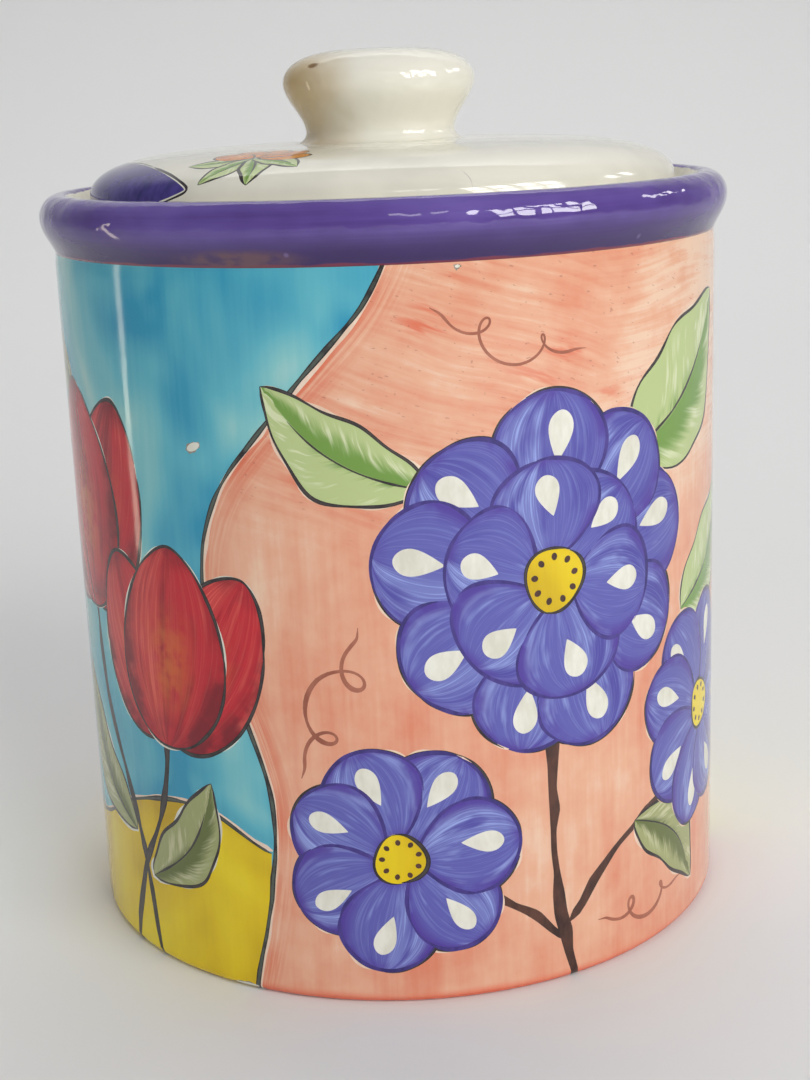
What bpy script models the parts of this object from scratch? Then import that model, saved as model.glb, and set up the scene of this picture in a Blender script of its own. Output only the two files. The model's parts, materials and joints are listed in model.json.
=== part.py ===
"""Earthenware canister: a straight pot with a rolled collar, and a lid with a knob, a flange and a seal.

Every piece is turned about the canister's upright axis. Sizes are in metres, with +Z up and the origin in
the middle of the foot.
"""

import math

import bpy
import numpy as np

# The pot: a straight wall on a floor that stands on a ring
POT_RADIUS = 0.1000
POT_HEIGHT = 0.2062
POT_WALL = 0.0065
FLOOR_THICKNESS = 0.0070
FLOOR_CORNER_RADIUS = 0.0100
FOOT_WIDTH = 0.0110
FOOT_RECESS = 0.0025
FOOT_EDGE_RADIUS = 0.0025

# The collar: a rolled rim outside, and inside it the ledge that carries the lid
COLLAR_HEIGHT = 0.0165
ROLL_OVERHANG = 0.0036
ROLL_RADIUS = 0.0048
ROLL_SWEEP = 1.3
COLLAR_THICKNESS = 0.0054
LIP_RADIUS = 0.0020
LEDGE_DEPTH = 0.0069
LEDGE_INSET = 0.0080
LEDGE_WIDTH = 0.0100
LEDGE_THICKNESS = 0.0060
SPIGOT_LENGTH = 0.0060
SPIGOT_WALL = 0.0045

# The lid: a flat dome with a rounded shoulder
LID_PLAY = 0.0036
LID_EDGE_HEIGHT = 0.0042
LID_EDGE_RADIUS = 0.0012
LID_RISE = 0.0140
LID_WALL = 0.0066
LID_SEAT_WIDTH = 0.0055
VENT_RADIUS = 0.0030
SHOULDER_ROUNDNESS = 2.5
CROWN_FLATNESS = 4.7

# The flange under the lid, which goes down inside the collar
FLANGE_CLEARANCE = 0.0035
FLANGE_WALL = 0.0052
FLANGE_DROP = 0.0130
FLANGE_EDGE_RADIUS = 0.0015

# The seal, a soft ring with two fins in a groove round the flange
GROOVE_DEPTH = 0.0018
SEAL_HEIGHT = 0.0036
SEAL_DROP = 0.0012
FIN_THICKNESS = 0.0008
FIN_LIFT = 0.0004

# The knob: a hollow mushroom on a flared foot
KNOB_RADIUS = 0.0289
KNOB_HEIGHT = 0.0266
KNOB_CAP_HEIGHT = 0.0093
KNOB_NECK_RADIUS = 0.0225
KNOB_NECK_HEIGHT = 0.0026
KNOB_FOOT_FLARE = 0.0030
KNOB_WALL = 0.0050
KNOB_CAP_FLATNESS = 3.6

# The gap left between pieces that touch
FIT_GAP = 0.0003

# Facets round the axis, and points along a curve
SEGMENTS = 64
KNOB_SEGMENTS = 48
CURVE_POINTS = 7

# Heights and radii that several pieces share
COLLAR_SEAT = POT_HEIGHT + FIT_GAP
RIM_TOP = COLLAR_SEAT + COLLAR_HEIGHT
LEDGE_TOP = RIM_TOP - LEDGE_DEPTH
LEDGE_RADIUS = POT_RADIUS - LEDGE_INSET
THROAT_RADIUS = LEDGE_RADIUS - LEDGE_WIDTH
LID_SEAT = LEDGE_TOP + FIT_GAP
LID_RADIUS = LEDGE_RADIUS - LID_PLAY
FLANGE_RADIUS = THROAT_RADIUS - FLANGE_CLEARANCE


def arc(centre_x, centre_z, radius, start, end, points=5):
    """Points on a circle, from the start angle to the end angle in degrees."""
    steps = [math.radians(start + (end - start) * i / (points - 1)) for i in range(points)]
    return [(centre_x + radius * math.cos(step), centre_z + radius * math.sin(step)) for step in steps]


def make_material(name, colour, roughness):
    material = bpy.data.materials.new(name)
    material.use_nodes = True
    shader = material.node_tree.nodes["Principled BSDF"]
    shader.inputs["Base Color"].default_value = (*colour, 1.0)
    shader.inputs["Roughness"].default_value = roughness
    shader.inputs["Metallic"].default_value = 0.0
    material.diffuse_color = (*colour, 1.0)
    return material


def turn(name, profile, material, collection, parent=None, closed=True, segments=SEGMENTS):
    """Turns a profile of (radius, height) points about the upright axis. It runs down the outer side."""
    outline = bpy.data.meshes.new(name)
    edges = [(i, i + 1) for i in range(len(profile) - 1)]
    if closed:
        edges.append((len(profile) - 1, 0))
    outline.from_pydata([(radius, 0.0, height) for radius, height in profile], edges, [])
    piece = bpy.data.objects.new(name, outline)
    collection.objects.link(piece)
    screw = piece.modifiers.new("turned on the wheel", "SCREW")
    screw.axis = "Z"
    screw.angle = math.tau
    screw.steps = segments
    screw.render_steps = segments
    screw.use_merge_vertices = True
    screw.merge_threshold = 0.00001
    screw.use_normal_calculate = False
    bpy.context.view_layer.update()
    solid = bpy.data.meshes.new_from_object(piece.evaluated_get(bpy.context.evaluated_depsgraph_get()))
    piece.modifiers.clear()
    piece.data = solid
    solid.name = name
    bpy.data.meshes.remove(outline)
    solid.shade_smooth()
    solid.set_sharp_from_angle(angle=math.radians(35))
    solid.materials.append(material)
    piece.parent = parent
    return piece


def pot_profile():
    """From the middle of the floor, up the inside, over the top, down the outside and under the foot."""
    inside = POT_RADIUS - POT_WALL
    floor_top = FOOT_RECESS + FLOOR_THICKNESS
    foot_outer = POT_RADIUS - FOOT_EDGE_RADIUS
    foot_inner = foot_outer - FOOT_WIDTH
    corner = arc(inside - FLOOR_CORNER_RADIUS, floor_top + FLOOR_CORNER_RADIUS, FLOOR_CORNER_RADIUS, -90, 0)
    foot_edge = arc(foot_outer, FOOT_EDGE_RADIUS, FOOT_EDGE_RADIUS, 0, -90, 4)
    return [
        (0.0, floor_top),
        *corner,
        (inside, POT_HEIGHT),
        (POT_RADIUS, POT_HEIGHT),
        *foot_edge,
        (foot_inner, 0.0),
        (foot_inner - FOOT_RECESS, FOOT_RECESS),
        (0.0, FOOT_RECESS),
    ]


def collar_profile():
    """Round the roll, down the flare to the neck, under the spigot, up the throat and along the ledge."""
    inside = POT_RADIUS - POT_WALL
    neck = POT_RADIUS - FIT_GAP
    roll_x = POT_RADIUS + ROLL_OVERHANG - ROLL_RADIUS
    roll_z = RIM_TOP - ROLL_RADIUS
    roll = arc(roll_x, roll_z, ROLL_RADIUS, 90, 0)
    flare = []
    for i in range(1, CURVE_POINTS):
        share = 1 - i / (CURVE_POINTS - 1)
        swell = math.sin(share * math.pi / 2) ** ROLL_SWEEP
        widest = roll_x + ROLL_RADIUS
        flare.append((neck + (widest - neck) * swell, COLLAR_SEAT + (roll_z - COLLAR_SEAT) * share))
    spigot_outer = inside - FIT_GAP
    spigot_inner = spigot_outer - SPIGOT_WALL
    ledge_under = LEDGE_TOP - LEDGE_THICKNESS
    lip = arc(POT_RADIUS - COLLAR_THICKNESS + LIP_RADIUS, RIM_TOP - LIP_RADIUS, LIP_RADIUS, 180, 90, 4)
    return [
        *roll,
        *flare,
        (spigot_outer, COLLAR_SEAT),
        (spigot_outer, COLLAR_SEAT - SPIGOT_LENGTH),
        (spigot_inner, COLLAR_SEAT - SPIGOT_LENGTH),
        (spigot_inner, ledge_under - (spigot_inner - THROAT_RADIUS)),
        (THROAT_RADIUS, ledge_under),
        (THROAT_RADIUS, LEDGE_TOP),
        (LEDGE_RADIUS, LEDGE_TOP),
        *lip,
    ]


def dome_point(radius, rise, angle):
    """A point of the lid's flat dome: 0 degrees is its edge and 90 its middle."""
    turned_angle = math.radians(angle)
    return (
        radius * math.cos(turned_angle) ** (2 / CROWN_FLATNESS),
        rise * math.sin(turned_angle) ** (2 / SHOULDER_ROUNDNESS),
    )


def lid_hollow():
    """The lid's underside, from its seat to the vent. Heights start at the seat."""
    hollow_radius = LID_RADIUS - LID_SEAT_WIDTH
    hollow_rise = LID_EDGE_HEIGHT + LID_RISE - LID_WALL
    side = [dome_point(hollow_radius, hollow_rise, angle) for angle in (0, 12, 26, 40, 55, 70, 80)]
    return [*side, (VENT_RADIUS, hollow_rise)]


def underside_height(radius):
    """How high the lid's underside stands above its seat at a radius."""
    middle_out = lid_hollow()[::-1]
    return float(np.interp(radius, [point[0] for point in middle_out], [point[1] for point in middle_out]))


def lid_profile():
    """The dome from the vent to the edge, then back under it from the seat to the vent."""
    outside = [dome_point(LID_RADIUS, LID_RISE, angle) for angle in range(80, -1, -10)]
    edge_middle = LID_RADIUS - LID_EDGE_RADIUS
    return [
        (VENT_RADIUS, LID_EDGE_HEIGHT + LID_RISE),
        *[(radius, LID_EDGE_HEIGHT + height) for radius, height in outside],
        *arc(edge_middle, LID_EDGE_RADIUS, LID_EDGE_RADIUS, 0, -90, 3),
        *lid_hollow(),
    ]


def flange_profile():
    """A ring whose top follows the lid's underside, with a groove for the seal round it."""
    inner = FLANGE_RADIUS - FLANGE_WALL
    middle = (FLANGE_RADIUS + inner) / 2
    groove = FLANGE_RADIUS - GROOVE_DEPTH
    groove_top = -SEAL_DROP + FIT_GAP
    groove_bottom = groove_top - SEAL_HEIGHT - 2 * FIT_GAP
    edge = FLANGE_EDGE_RADIUS
    return [
        (FLANGE_RADIUS, underside_height(FLANGE_RADIUS) - FIT_GAP),
        (FLANGE_RADIUS, groove_top),
        (groove, groove_top),
        (groove, groove_bottom),
        (FLANGE_RADIUS, groove_bottom),
        *arc(FLANGE_RADIUS - edge, -FLANGE_DROP + edge, edge, 0, -90, 3),
        *arc(inner + edge, -FLANGE_DROP + edge, edge, -90, -180, 3),
        (inner, underside_height(inner) - FIT_GAP),
        (middle, underside_height(middle) - FIT_GAP),
    ]


def seal_profile():
    """A flat band in the groove with two thin fins that reach out to the collar's throat."""
    band_inner = FLANGE_RADIUS - GROOVE_DEPTH + FIT_GAP
    band_outer = FLANGE_RADIUS + FIN_THICKNESS
    tip = THROAT_RADIUS - FIT_GAP
    top = -SEAL_DROP
    bottom = top - SEAL_HEIGHT
    return [
        (band_inner, top),
        (band_outer, top),
        (tip, top + FIN_LIFT),
        (tip, top + FIN_LIFT - FIN_THICKNESS / 2),
        (band_outer, top - FIN_THICKNESS),
        (band_outer, bottom + FIN_THICKNESS),
        (tip, bottom + FIN_THICKNESS + FIN_LIFT),
        (tip, bottom + FIN_THICKNESS / 2 + FIN_LIFT),
        (band_outer, bottom),
        (band_inner, bottom),
    ]


def knob_side(inset):
    """The knob's outline from its middle down to its neck, taken in by the wall for its hollow."""
    widest = KNOB_HEIGHT - KNOB_CAP_HEIGHT
    cap_radius = KNOB_RADIUS - inset
    neck_radius = KNOB_NECK_RADIUS - inset
    cap = [(0.0, widest + KNOB_CAP_HEIGHT - inset)]
    for angle in (80, 65, 50, 35, 20, 8):
        turned_angle = math.radians(angle)
        cap.append(
            (
                cap_radius * math.cos(turned_angle) ** (2 / KNOB_CAP_FLATNESS),
                widest + (KNOB_CAP_HEIGHT - inset) * math.sin(turned_angle),
            )
        )
    waist = []
    for i in range(CURVE_POINTS):
        share = i / (CURVE_POINTS - 1)
        swell = (1 + math.cos(math.pi * share)) / 2
        waist.append(
            (
                neck_radius + (cap_radius - neck_radius) * swell,
                widest + (KNOB_NECK_HEIGHT - widest) * share,
            )
        )
    return cap + waist


def knob_profile():
    """Down the outside to the flared foot, then up the hollow inside."""
    flare = []
    for angle in (30, 60):
        turned_angle = math.radians(angle)
        flare.append(
            (
                KNOB_NECK_RADIUS + KNOB_FOOT_FLARE * (1 - math.cos(turned_angle)),
                KNOB_NECK_HEIGHT * (1 - math.sin(turned_angle)),
            )
        )
    foot_radius = KNOB_NECK_RADIUS + KNOB_FOOT_FLARE * 0.7
    hollow = knob_side(KNOB_WALL)
    return [
        *knob_side(0.0),
        *flare,
        (foot_radius, 0.0),
        (KNOB_NECK_RADIUS - KNOB_WALL, 0.0),
        *reversed(hollow),
    ]


def main():
    for leftover in list(bpy.data.objects):
        bpy.data.objects.remove(leftover)
    canister = bpy.data.collections.new("ceramic_canister")
    bpy.context.scene.collection.children.link(canister)

    coral_glaze = make_material("coral_glaze", (0.83, 0.36, 0.23), 0.22)
    violet_glaze = make_material("violet_glaze", (0.075, 0.035, 0.24), 0.18)
    cream_glaze = make_material("cream_glaze", (0.80, 0.77, 0.66), 0.16)
    clear_silicone = make_material("clear_silicone", (0.78, 0.79, 0.78), 0.45)

    lid_axis = bpy.data.objects.new("lid_axis", None)
    lid_axis.location = (0.0, 0.0, LID_SEAT)
    canister.objects.link(lid_axis)

    turn("jar_body", pot_profile(), coral_glaze, canister, closed=False)
    turn("rim_collar", collar_profile(), violet_glaze, canister)
    turn("lid_dome", lid_profile(), cream_glaze, canister, lid_axis)
    turn("lid_flange", flange_profile(), cream_glaze, canister, lid_axis)
    turn("seal_ring", seal_profile(), clear_silicone, canister, lid_axis)
    knob = turn("lid_knob", knob_profile(), cream_glaze, canister, lid_axis, False, KNOB_SEGMENTS)
    knob.location.z = LID_EDGE_HEIGHT + LID_RISE + FIT_GAP


main()
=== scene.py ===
"""The looks of the earthenware canister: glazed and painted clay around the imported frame."""

import json
import math

import bpy
import numpy as np
from mathutils import Matrix, Vector
from mathutils.geometry import delaunay_2d_cdt

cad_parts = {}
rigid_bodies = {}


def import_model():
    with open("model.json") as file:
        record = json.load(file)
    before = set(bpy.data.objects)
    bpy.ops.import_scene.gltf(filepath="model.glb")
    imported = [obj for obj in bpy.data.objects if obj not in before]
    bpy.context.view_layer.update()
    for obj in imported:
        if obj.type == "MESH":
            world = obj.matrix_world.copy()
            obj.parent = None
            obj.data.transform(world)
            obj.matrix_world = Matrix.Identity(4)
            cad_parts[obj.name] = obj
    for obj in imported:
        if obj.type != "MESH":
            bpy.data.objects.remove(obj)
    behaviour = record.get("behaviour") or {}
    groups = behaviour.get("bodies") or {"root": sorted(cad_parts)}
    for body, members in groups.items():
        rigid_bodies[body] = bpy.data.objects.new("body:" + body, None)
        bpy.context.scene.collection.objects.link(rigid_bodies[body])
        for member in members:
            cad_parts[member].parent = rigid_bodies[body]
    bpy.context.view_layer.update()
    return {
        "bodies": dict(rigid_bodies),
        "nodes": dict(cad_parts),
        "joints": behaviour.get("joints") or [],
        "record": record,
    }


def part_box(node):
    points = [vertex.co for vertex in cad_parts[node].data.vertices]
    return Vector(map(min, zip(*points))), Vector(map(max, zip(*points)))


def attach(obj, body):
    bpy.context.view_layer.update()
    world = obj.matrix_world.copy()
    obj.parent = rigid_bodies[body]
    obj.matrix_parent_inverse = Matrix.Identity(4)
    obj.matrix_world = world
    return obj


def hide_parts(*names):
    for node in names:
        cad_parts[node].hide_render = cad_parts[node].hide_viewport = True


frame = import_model()

MM = 0.001

# The photograph's view: the camera stands half a metre off, level with the knob. It looks down fifteen
# degrees and is held two degrees off level.
CAMERA_PLACE = (0.00257, -0.53006, 0.24723)
CAMERA_PITCH = math.radians(14.633)
CAMERA_ROLL = math.radians(-2.239)
CAMERA_LENS = 56.62

camera = bpy.data.objects.new("camera", bpy.data.cameras.new("camera"))
bpy.context.scene.collection.objects.link(camera)
camera.data.lens = CAMERA_LENS
camera.data.sensor_width = 36.0
camera.data.clip_start = 0.01
camera.matrix_world = (
    Matrix.Translation(CAMERA_PLACE)
    @ Matrix.Rotation(math.pi / 2 - CAMERA_PITCH, 4, "X")
    @ Matrix.Rotation(CAMERA_ROLL, 4, "Z")
)
bpy.context.scene.camera = camera
bpy.context.scene.view_settings.view_transform = "Standard"


# The studio: a pale paper sweep that curves up behind the canister, three windows of plain panes round its
# right side, and a narrow strip at its left. The main window shows only in the gloss. A broad lamp beside it
# gives the light, so that the shade is soft.
def linear(red, green, blue):
    """A colour as a paint chart gives it, from 0 to 255, in the shader's own linear scale."""
    shares = [value / 255 for value in (red, green, blue)]
    return tuple(s / 12.92 if s <= 0.04045 else ((s + 0.055) / 1.055) ** 2.4 for s in shares)


def soft_lamp(name, place, aim, width, height, power, tint=(1.0, 1.0, 1.0), glossy=True):
    """A lamp like a lit sheet of paper, out of the camera's sight."""
    lamp = bpy.data.objects.new(name, bpy.data.lights.new(name, "AREA"))
    lamp.data.shape = "RECTANGLE"
    lamp.data.size = width
    lamp.data.size_y = height
    lamp.data.energy = power
    lamp.data.color = tint
    lamp.location = place
    lamp.rotation_euler = (Vector(aim) - Vector(place)).to_track_quat("-Z", "Y").to_euler()
    lamp.visible_camera = False
    lamp.visible_glossy = glossy
    bpy.context.scene.collection.objects.link(lamp)
    return lamp


WINDOW_AIM = Vector((0.0, 0.0, 0.21))
WINDOW_DISTANCE = 1.42
DAYLIGHT = (1.0, 0.985, 0.96)
for label, azimuth, columns, rows, height, pane, step, power in (
    ("front", 14, 2, 1, 1.30, (0.20, 0.24), (0.27, 0.0), 0.55),
    ("main", 53, 4, 2, 0.84, (0.20, 0.34), (0.27, 0.40), 2.35),
    ("right", 108, 2, 1, 0.84, (0.14, 0.24), (0.27, 0.0), 0.7),
):
    turn = math.radians(azimuth)
    middle = Vector((WINDOW_DISTANCE * math.sin(turn), -WINDOW_DISTANCE * math.cos(turn), height))
    facing = (WINDOW_AIM - middle).to_track_quat("-Z", "Y")
    for column in range(columns):
        for row in range(rows):
            across, up = (column - (columns - 1) / 2) * step[0], (row - (rows - 1) / 2) * step[1]
            offset = facing @ Vector((across, up, 0.0))
            name = f"{label}_pane_{column}{row}"
            lamp = soft_lamp(name, middle + offset, WINDOW_AIM + offset, *pane, power, DAYLIGHT)
            lamp.visible_diffuse = label != "main"
soft_lamp("day_lamp", (0.87, -1.12, 0.84), WINDOW_AIM, 1.1, 0.9, 15.6, DAYLIGHT, glossy=False)
soft_lamp("fill_lamp", (-0.9, -1.3, 0.7), (0.0, 0.0, 0.12), 0.9, 0.9, 3.0, (0.97, 0.985, 1.0), glossy=False)
soft_lamp("left_strip", (-0.56, 0.03, 0.15), (-0.07, -0.07, 0.15), 0.026, 0.30, 0.09, (1.0, 0.86, 0.68))
soft_lamp("sweep_lamp", (0.0, 1.2, 2.2), (0.0, 1.6, 0.3), 2.0, 1.0, 22.0, glossy=False)

studio = bpy.data.worlds.new("studio")
bpy.context.scene.world = studio
studio.use_nodes = True
sky = studio.node_tree.nodes["Background"].inputs
sky["Color"].default_value = (0.92, 0.94, 1.0, 1.0)
sky["Strength"].default_value = 0.27

SWEEP_WIDTH = 20.0
SWEEP_FRONT = -10.0
SWEEP_BACK = 1.6
SWEEP_BEND = 0.5
SWEEP_TOP = 2.4
bend = [math.radians(angle) for angle in range(0, 91, 10)]
sweep_line = [
    (SWEEP_FRONT, 0.0),
    *[(SWEEP_BACK - SWEEP_BEND * (1 - math.sin(a)), SWEEP_BEND * (1 - math.cos(a))) for a in bend],
    (SWEEP_BACK, SWEEP_TOP),
]
sweep_mesh = bpy.data.meshes.new("paper_sweep")
sweep_mesh.from_pydata(
    [(side * SWEEP_WIDTH / 2, y, z) for y, z in sweep_line for side in (-1, 1)],
    [],
    [(2 * i, 2 * i + 1, 2 * i + 3, 2 * i + 2) for i in range(len(sweep_line) - 1)],
)
sweep_mesh.shade_smooth()
sweep = bpy.data.objects.new("paper_sweep", sweep_mesh)
bpy.context.scene.collection.objects.link(sweep)
paper = bpy.data.materials.new("paper")
paper.use_nodes = True
matt = paper.node_tree.nodes["Principled BSDF"].inputs
matt["Base Color"].default_value = (0.80, 0.80, 0.79, 1.0)
matt["Roughness"].default_value = 0.85
sweep_mesh.materials.append(paper)


# The jar's body: one slip-cast earthenware pot with a low foot, painted by hand in underglaze colours under
# a clear glaze. Its wall is modelled unrolled, in mm along the girth from the front and up the wall, so that
# each stroke of paint is a shape with its own glaze.
_, jar_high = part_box("jar_body")
JAR_RADIUS = jar_high.x / MM
NECK_LAP = 0.15
NECK_HEIGHT = jar_high.z / MM + NECK_LAP
NECK_TUCK = 0.25
NECK_CURVE = 4.0
JAR_WALL = 6.5
FLOOR_TOP = 9.5
FLOOR_CORNER = 10.0
FOOT_WIDTH = 11.0
FOOT_RECESS = 2.5
FOOT_EDGE = 2.5
HALF_GIRTH = math.pi * JAR_RADIUS


class Glaze:
    """A glaze as shader nodes, put down one after another, and fired to a gloss that ripples a little."""

    def __init__(self, name, ripple=0.035):
        self.material = bpy.data.materials.new(name)
        self.material.use_nodes = True
        self.tree = self.material.node_tree
        self.shader = self.tree.nodes["Principled BSDF"]
        self.ripple = ripple
        self.place = self.node("TexCoord", output="Object")

    def node(self, kind, inputs=(), output=0, **settings):
        made = self.tree.nodes.new("ShaderNode" + kind)
        for label, value in settings.items():
            setattr(made, label, value)
        for socket, value in dict(inputs).items():
            if isinstance(value, bpy.types.NodeSocket):
                self.tree.links.new(value, made.inputs[socket])
            else:
                made.inputs[socket].default_value = value
        return made.outputs[output]

    def maths(self, operation, a, b=0.0):
        return self.node("Math", {0: a, 1: b}, operation=operation)

    def span(self, value, low, high, start=0.0, end=1.0):
        """Eases from start to end while the value goes from low to high."""
        sockets = {"Value": value, "From Min": low, "From Max": high, "To Min": start, "To Max": end}
        return self.node("MapRange", sockets, interpolation_type="SMOOTHSTEP")

    def noise(self, wide, high=None, slant=0.0, detail=3.0, warp=0.0):
        """Noise whose spots are as many metres wide and high as asked. Slanted ones climb to the left."""
        size = (wide, wide, wide if high is None else high)
        sockets = {"Vector": self.place, "Scale": size, "Rotation": (0.0, slant, 0.0)}
        place = self.node("Mapping", sockets, vector_type="TEXTURE")
        sockets = {"Vector": place, "Scale": 1.0, "Detail": detail, "Roughness": 0.55, "Distortion": warp}
        return self.node("TexNoise", sockets)

    def map(self, name):
        """The two coordinates of one of the piece's own maps. The wall's are in units of 100 mm."""
        place = self.node("SeparateXYZ", {0: self.node("UVMap", uv_map=name)})
        return place, place.node.outputs[1]

    def from_spot(self, place, size):
        """How far away a spot on the piece is, in shares of the spot's own width, depth and height."""
        sockets = {"Vector": self.place, "Location": place, "Scale": size}
        away = self.node("Mapping", sockets, vector_type="TEXTURE")
        return self.node("VectorMath", {0: away}, 1, operation="LENGTH")

    def lanes(self, along, slow, across, quick, detail=3.0):
        """Noise in lanes, as a brush's bristles leave it: slow along the lane and quick across it."""
        own = self.node("VectorMath", {0: self.place, 1: (9.0, 9.0, 9.0)}, operation="MULTIPLY")
        lane = self.node("CombineXYZ", {0: self.product(along, slow), 1: self.product(across, quick)})
        lane = self.node("VectorMath", {0: lane, 1: own}, operation="ADD")
        return self.node("TexNoise", {"Vector": lane, "Scale": 1.0, "Detail": detail, "Roughness": 0.6})

    def mix(self, share, a, b):
        return self.node("Mix", {0: share, 2: a, 3: b}, 0, data_type="FLOAT")

    def sum(self, *parts):
        """A sum of values, each with its weight."""
        total = 0.0
        for weight, value in parts:
            total = self.node("Math", {0: value, 1: weight, 2: total}, operation="MULTIPLY_ADD")
        return total

    def product(self, first, *more):
        for value in more:
            first = self.maths("MULTIPLY", first, value)
        return first

    def blend(self, share, a, b):
        """From colour a to colour b. Colours are shader sockets or paint-chart numbers."""
        colours = [(*linear(*c), 1.0) if isinstance(c, tuple) else c for c in (a, b)]
        return self.node("Mix", {0: share, 6: colours[0], 7: colours[1]}, 2, data_type="RGBA")

    def scale(self, value, *stops):
        """A colour scale: pairs of a place from 0 to 1 and a paint-chart colour."""
        made = self.node("ValToRGB", {0: value})
        ramp = made.node.color_ramp
        while len(ramp.elements) < len(stops):
            ramp.elements.new(0.5)
        for element, (place, colour) in zip(ramp.elements, stops):
            element.position = place
            element.color = (*linear(*colour), 1.0)
        return made

    def fired(self, colour, rough=(0.05, 0.10), height=None):
        """The finished material: colour under a clear gloss that lies a little unevenly."""
        self.tree.links.new(colour, self.shader.inputs["Base Color"])
        haze = self.span(self.noise(0.02), 0.35, 0.7, *rough)
        self.tree.links.new(haze, self.shader.inputs["Roughness"])
        self.shader.inputs["IOR"].default_value = 1.5
        swell = self.maths("MULTIPLY", self.noise(0.018, detail=1.0), self.ripple * 2.4)
        peel = self.maths("MULTIPLY", self.noise(0.0035, detail=1.0), self.ripple * 0.22)
        surface = self.maths("ADD", swell, peel)
        if height is not None:
            surface = self.maths("ADD", surface, height)
        bump = self.node("Bump", {"Height": surface, "Distance": MM, "Strength": 1.0})
        self.tree.links.new(bump, self.shader.inputs["Normal"])
        return self.material


# The coral field: thin underglaze in streaks, which follow its borders, run aslant under the rim and stand
# upright below, with redder lines where the brush was full
glaze = Glaze("coral_underglaze")
away = glaze.map("brush")[0]
u, v = glaze.map("wall")
cloud = glaze.noise(0.03, detail=2.0)
wide_cloud = glaze.noise(0.05, detail=1.0)
upright = glaze.sum((0.72, glaze.lanes(v, 1.1, u, 10.0)), (0.28, glaze.lanes(v, 2.4, u, 55.0, 4.0)))
join = glaze.sum((1.0, glaze.maths("ABSOLUTE", u)), (0.8, cloud))
upright = glaze.mix(glaze.span(join, 3.2, 3.5), upright, glaze.noise(0.006, 0.07))
waves = glaze.sum((1.0, v), (0.10, wide_cloud))
level, down = glaze.sum((1.0, waves), (-0.06, u)), glaze.sum((1.0, waves), (0.34, u))
broad, fine = glaze.lanes(u, 1.7, level, 17.0, 2.0), glaze.lanes(u, 3.0, level, 80.0, 4.0)
level_streaks = glaze.sum((0.45, broad), (0.55, fine))
down_streaks = glaze.lanes(u, 2.6, down, 46.0, 4.0)
aslant = glaze.span(glaze.sum((1.0, u), (1.6, wide_cloud)), 1.45, 0.95)
high = glaze.span(glaze.sum((1.0, v), (0.3, cloud)), 1.40, 1.75)
high = glaze.product(high, glaze.span(join, 3.5, 2.9))
beside = glaze.span(glaze.sum((1.0, away), (2.0, cloud)), 1.9, 1.2)
along = glaze.lanes(v, 2.6, away, 9.0, 4.0)
streaks = glaze.mix(high, upright, glaze.mix(aslant, level_streaks, down_streaks))
streaks = glaze.mix(glaze.product(beside, 0.7), streaks, along)
paler = glaze.product(glaze.span(glaze.sum((1.0, u), (0.8, wide_cloud)), 0.6, 1.4), high)
fine = glaze.noise(0.005)
tone = glaze.sum((0.42, streaks), (0.38, cloud), (0.12, fine), (-0.115, paler), (0.05, 1.0))
colour = glaze.scale(
    tone, (0.38, (238, 203, 176)), (0.46, (232, 177, 147)), (0.54, (228, 162, 132)), (0.65, (222, 134, 103))
)
wiry = glaze.mix(aslant, glaze.lanes(u, 3.6, level, 24.0), glaze.lanes(u, 3.6, down, 24.0))
patches = glaze.span(glaze.noise(0.035, 0.02, detail=1.0), 0.50, 0.70)
full = glaze.product(glaze.span(wiry, 0.52, 0.66), glaze.sum((1.0, high), (-0.6, paler)), patches)
edge = glaze.product(glaze.span(away, 1.0, 0.0), glaze.span(along, 0.36, 0.58))
edge = glaze.product(edge, glaze.span(glaze.noise(0.03, detail=1.0), 0.36, 0.56, 0.1, 0.8))
colour = glaze.blend(glaze.maths("MAXIMUM", glaze.product(full, 0.75), edge), colour, (220, 98, 66))
specks = glaze.product(glaze.span(glaze.noise(0.0014, 0.0006, 0.3, detail=0.0), 0.77, 0.83), high)
colour = glaze.blend(glaze.product(specks, 0.4), colour, (150, 80, 76))
foot = glaze.span(glaze.sum((1.0, v), (0.03, cloud)), 0.056, 0.022, 0.0, 0.85)
paint = {"coral": glaze.fired(glaze.blend(foot, colour, (222, 90, 56)))}

# The turquoise and mustard fields: fuller paint in soft upright clouds, and deeper beside their borders
for name, thin, light, middle, full in (
    ("turquoise", (170, 210, 204), (130, 198, 202), (96, 182, 198), (46, 150, 184)),
    ("mustard", (240, 220, 40), (236, 210, 16), (226, 194, 6), (196, 160, 0)),
):
    glaze = Glaze(name + "_underglaze")
    away = glaze.map("brush")[0]
    u, v = glaze.map("wall")
    cloud = glaze.noise(0.042, 0.055, detail=2.0, warp=0.6)
    brushed, fine = glaze.lanes(v, 1.6, u, 16.0, 2.0), glaze.lanes(v, 2.4, u, 70.0)
    tone = glaze.sum((0.86, cloud), (0.09, brushed), (0.05, fine), (0.07, glaze.span(away, 0.9, 0.0)))
    paint[name] = glaze.fired(glaze.scale(tone, (0.36, thin), (0.45, light), (0.55, middle), (0.68, full)))

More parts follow.
